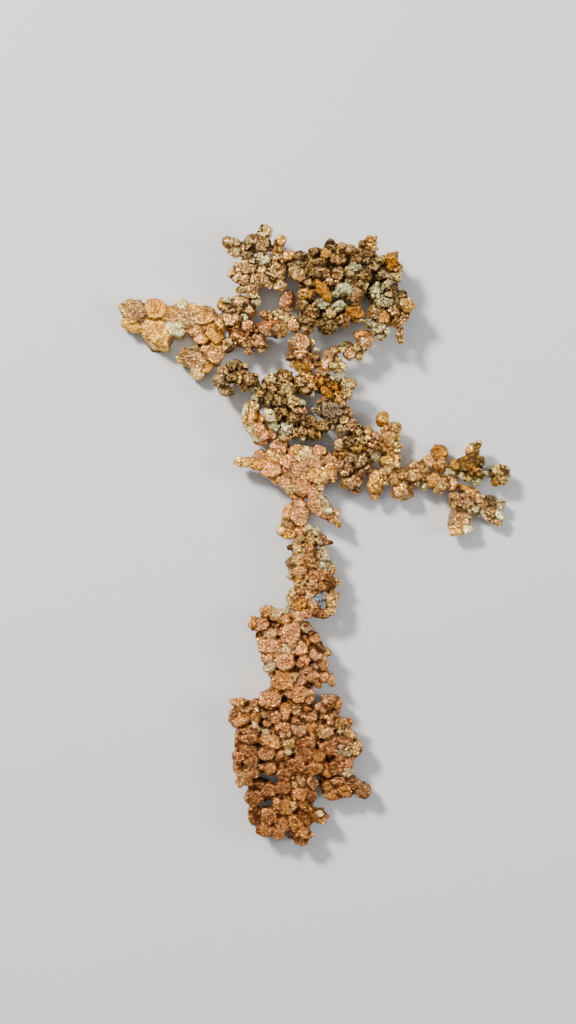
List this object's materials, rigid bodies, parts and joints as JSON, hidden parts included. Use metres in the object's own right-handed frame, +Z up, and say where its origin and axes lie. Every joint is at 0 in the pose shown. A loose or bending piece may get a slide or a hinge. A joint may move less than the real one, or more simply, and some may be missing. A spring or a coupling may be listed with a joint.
{
  "type": "native copper nugget",
  "caption": "Flat, branching cluster of intergrown native copper crystals, with a thick trunk, a narrow neck and a knotted crown that spreads to both sides.",
  "frame": {"origin": "on the table, below the middle of the specimen's outline", "axes": "+Y along the specimen, from the trunk's foot to the crown; +X to the right seen from above; +Z up from the table"},
  "size_m": [0.049, 0.0778, 0.006],
  "materials": {
    "brown_copper": "tarnished native copper, brown with pale worn crystal edges",
    "pink_copper": "bright pinkish native copper with a fine grain",
    "dark_copper": "dark tarnished native copper with green-white and orange spots",
    "pale_copper": "pale native copper with silvery worn edges",
    "golden_copper": "golden orange native copper, smooth rounded crystals"
  },
  "bodies": {
    "root": {"trunk": "brown_copper", "toe": "brown_copper", "stem": "brown_copper", "lower_slab": "pink_copper", "claw": "pink_copper", "hub": "dark_copper", "crescent": "pink_copper", "column": "pink_copper", "strut": "pale_copper", "spur": "dark_copper", "crown_right": "dark_copper", "crown_left": "pale_copper", "crossbar": "pink_copper", "left_bough": "pink_copper", "left_arm": "golden_copper", "right_arm": "golden_copper", "upper_twig": "golden_copper", "lower_twig": "pale_copper"}
  },
  "joints": []
}
